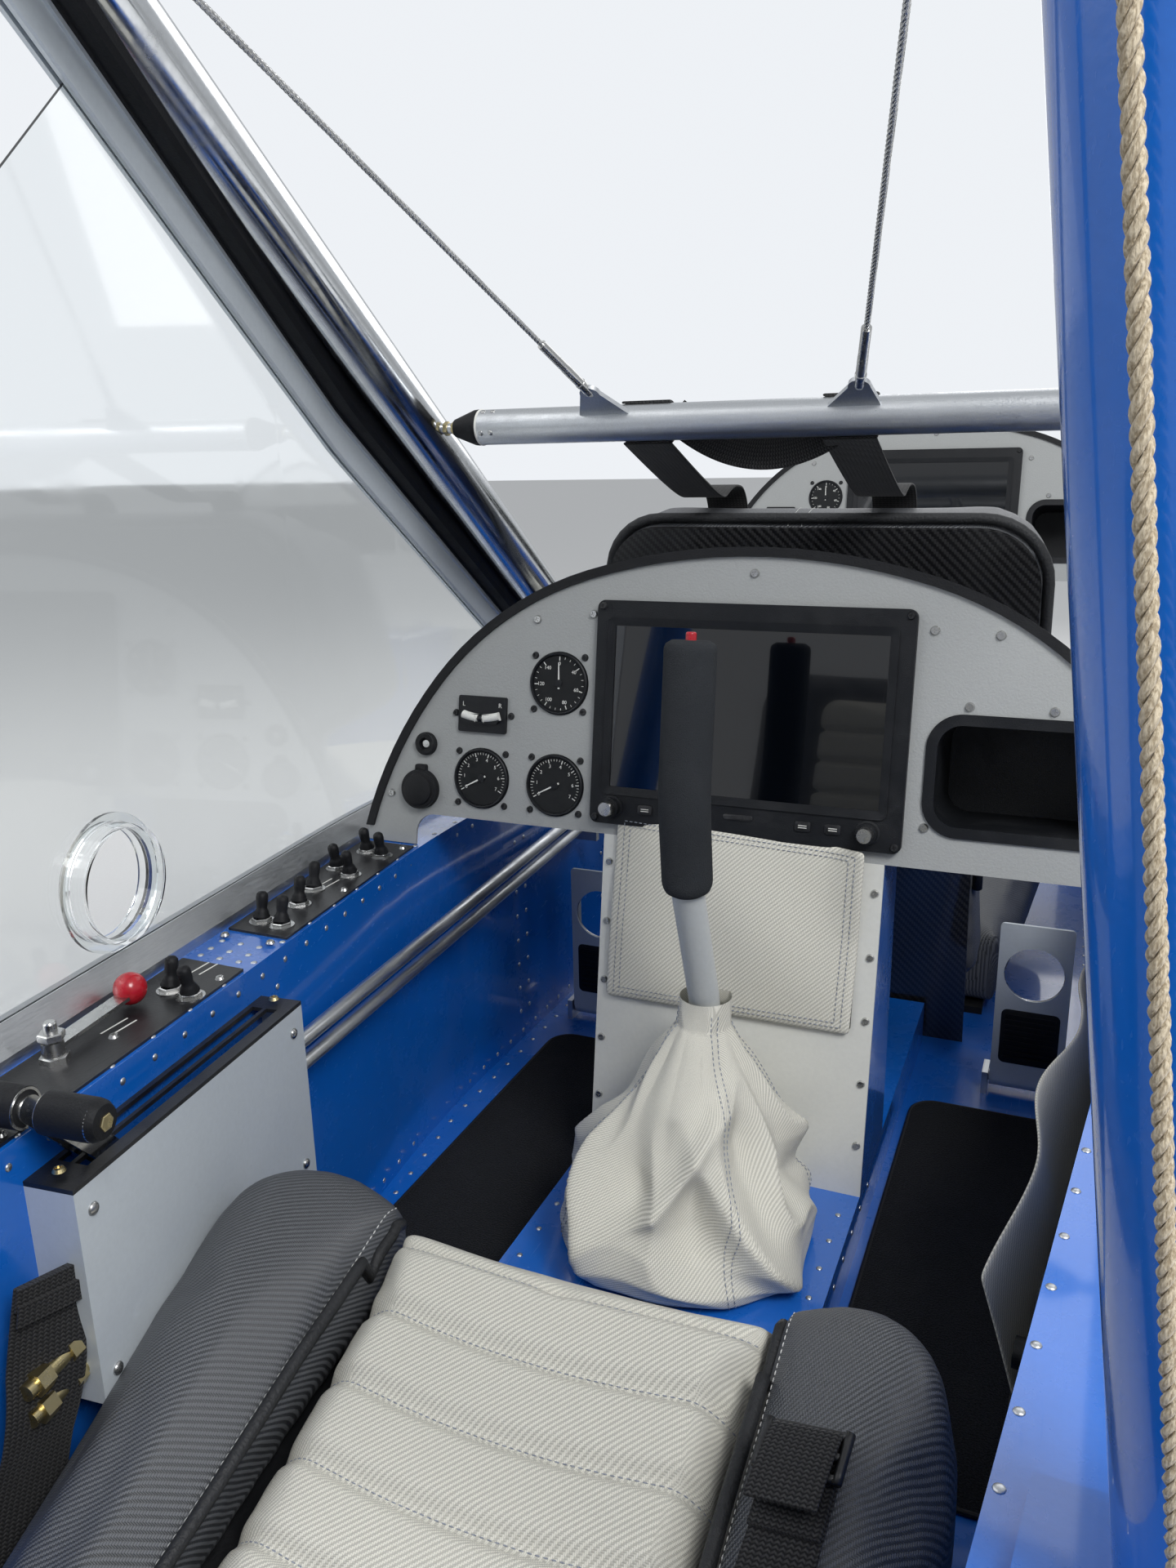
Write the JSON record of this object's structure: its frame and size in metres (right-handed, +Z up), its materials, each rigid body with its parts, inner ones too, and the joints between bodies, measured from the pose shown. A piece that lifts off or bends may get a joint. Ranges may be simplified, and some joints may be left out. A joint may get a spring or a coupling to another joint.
{
  "type": "aircraft cockpit section",
  "caption": "Open cockpit section of a light aircraft: tandem seats, control stick, pedals, throttle levers, instrument panels with displays, wing struts, spars and bracing cables.",
  "frame": {"origin": "on the centreline of the flat belly, below the rear instrument panel's display", "axes": "+X to the occupants' right, +Y forwards along the section's length, +Z up"},
  "size_m": [0.8028, 2.32, 1.1017],
  "materials": {
    "blue_paint": "glossy metallic",
    "panel_paint": "satin",
    "grey_paint": "satin",
    "satin_aluminium": "brushed",
    "polished_aluminium": "polished",
    "steel": "plated",
    "brass": "yellow passivated",
    "black_paint": "matt",
    "black_plastic": "fine texture",
    "screen": "glossy",
    "red_plastic": "glossy",
    "black_rubber": "matt",
    "grip_foam": "closed-cell foam",
    "mat_fabric": "short pile",
    "silver_vinyl": "twill-embossed vinyl",
    "black_vinyl": "twill-embossed vinyl",
    "seat_shell": "glossy",
    "seat_base": "matt",
    "webbing": "woven",
    "clear_window": "clear",
    "rope": "laid strands"
  },
  "bodies": {
    "root": {"floor_pan": "blue_paint", "side_wall_left": "blue_paint", "side_wall_right": "blue_paint", "sill_rails": "satin_aluminium", "rear_frame": "grey_paint", "front_frame": "grey_paint", "tunnel": "blue_paint", "floor_mats": "mat_fabric", "bearing_blocks": "satin_aluminium", "stick_boot": "silver_vinyl", "pedal_mounts": "satin_aluminium", "instrument_panel": "panel_paint", "panel_edging": "black_rubber", "display_unit": "black_plastic", "display_screen": "screen", "gauges": "black_plastic", "slip_indicator": "black_plastic", "panel_sockets": "black_plastic", "glove_box": "black_plastic", "pedestal_panel": "panel_paint", "pedestal_pocket": "silver_vinyl", "switch_plates": "black_paint", "toggle_switches": "steel", "latch_lever": "steel", "throttle_box": "satin_aluminium", "throttle_box_cover": "black_paint", "brass_fittings": "brass", "push_pull_tubes": "satin_aluminium", "tube_bracket": "satin_aluminium", "wall_pocket": "silver_vinyl", "wall_fitting": "black_plastic", "seat_cushions": "black_vinyl", "seat_bases": "seat_base", "seat_backs": "black_vinyl", "seat_shells": "seat_shell", "front_struts": "polished_aluminium", "rear_struts": "blue_paint", "strut_feet": "satin_aluminium", "wing_frame": "satin_aluminium", "harness_bar": "satin_aluminium", "bracing_cables": "steel", "window_pane": "clear_window", "window_channel": "satin_aluminium", "window_seal": "black_rubber", "vent_ring": "clear_window", "shoulder_belts": "webbing", "lap_belts": "webbing", "strut_rope": "rope"},
    "torque_tube": {"torque_tube": "steel"},
    "stick": {"stick_tube": "grey_paint", "stick_grip": "grip_foam", "stick_button": "red_plastic"},
    "pedal_left": {"pedal_left": "satin_aluminium"},
    "pedal_right": {"pedal_right": "satin_aluminium"},
    "throttle_left": {"throttle_lever_left": "steel"},
    "throttle_right": {"throttle_lever_right": "steel"}
  },
  "joints": [
    {"name": "stick_roll", "type": "hinge", "parent": "root", "child": "torque_tube", "pos_m": [0, -0.13, 0.049], "axis": [0, 1, 0], "range_deg": [-15, 15], "deforming": ["stick_boot"]},
    {"name": "stick_pitch", "type": "hinge", "parent": "torque_tube", "child": "stick", "pos_m": [0, -0.13, 0.049], "axis": [1, 0, 0], "range_deg": [-10, 18], "deforming": ["stick_boot"]},
    {"name": "pedal_left_swing", "type": "hinge", "parent": "root", "child": "pedal_left", "pos_m": [-0.242, 0.262, 0.04], "axis": [1, 0, 0], "range_deg": [-13, 13]},
    {"name": "pedal_right_swing", "type": "hinge", "parent": "root", "child": "pedal_right", "pos_m": [0.242, 0.262, 0.04], "axis": [1, 0, 0], "range_deg": [-13, 13]},
    {"name": "throttle_left_swing", "type": "hinge", "parent": "root", "child": "throttle_left", "pos_m": [-0.27698, -0.404, 0.185], "axis": [0.9946, 0.1034, 0], "range_deg": [-70, 0]},
    {"name": "throttle_right_swing", "type": "hinge", "parent": "root", "child": "throttle_right", "pos_m": [-0.27698, -0.404, 0.185], "axis": [0.9946, 0.1034, 0], "range_deg": [-70, 0]}
  ],
  "couplings": [
    {"joint": "pedal_right_swing", "follows": "pedal_left_swing", "ratio": -1}
  ]
}
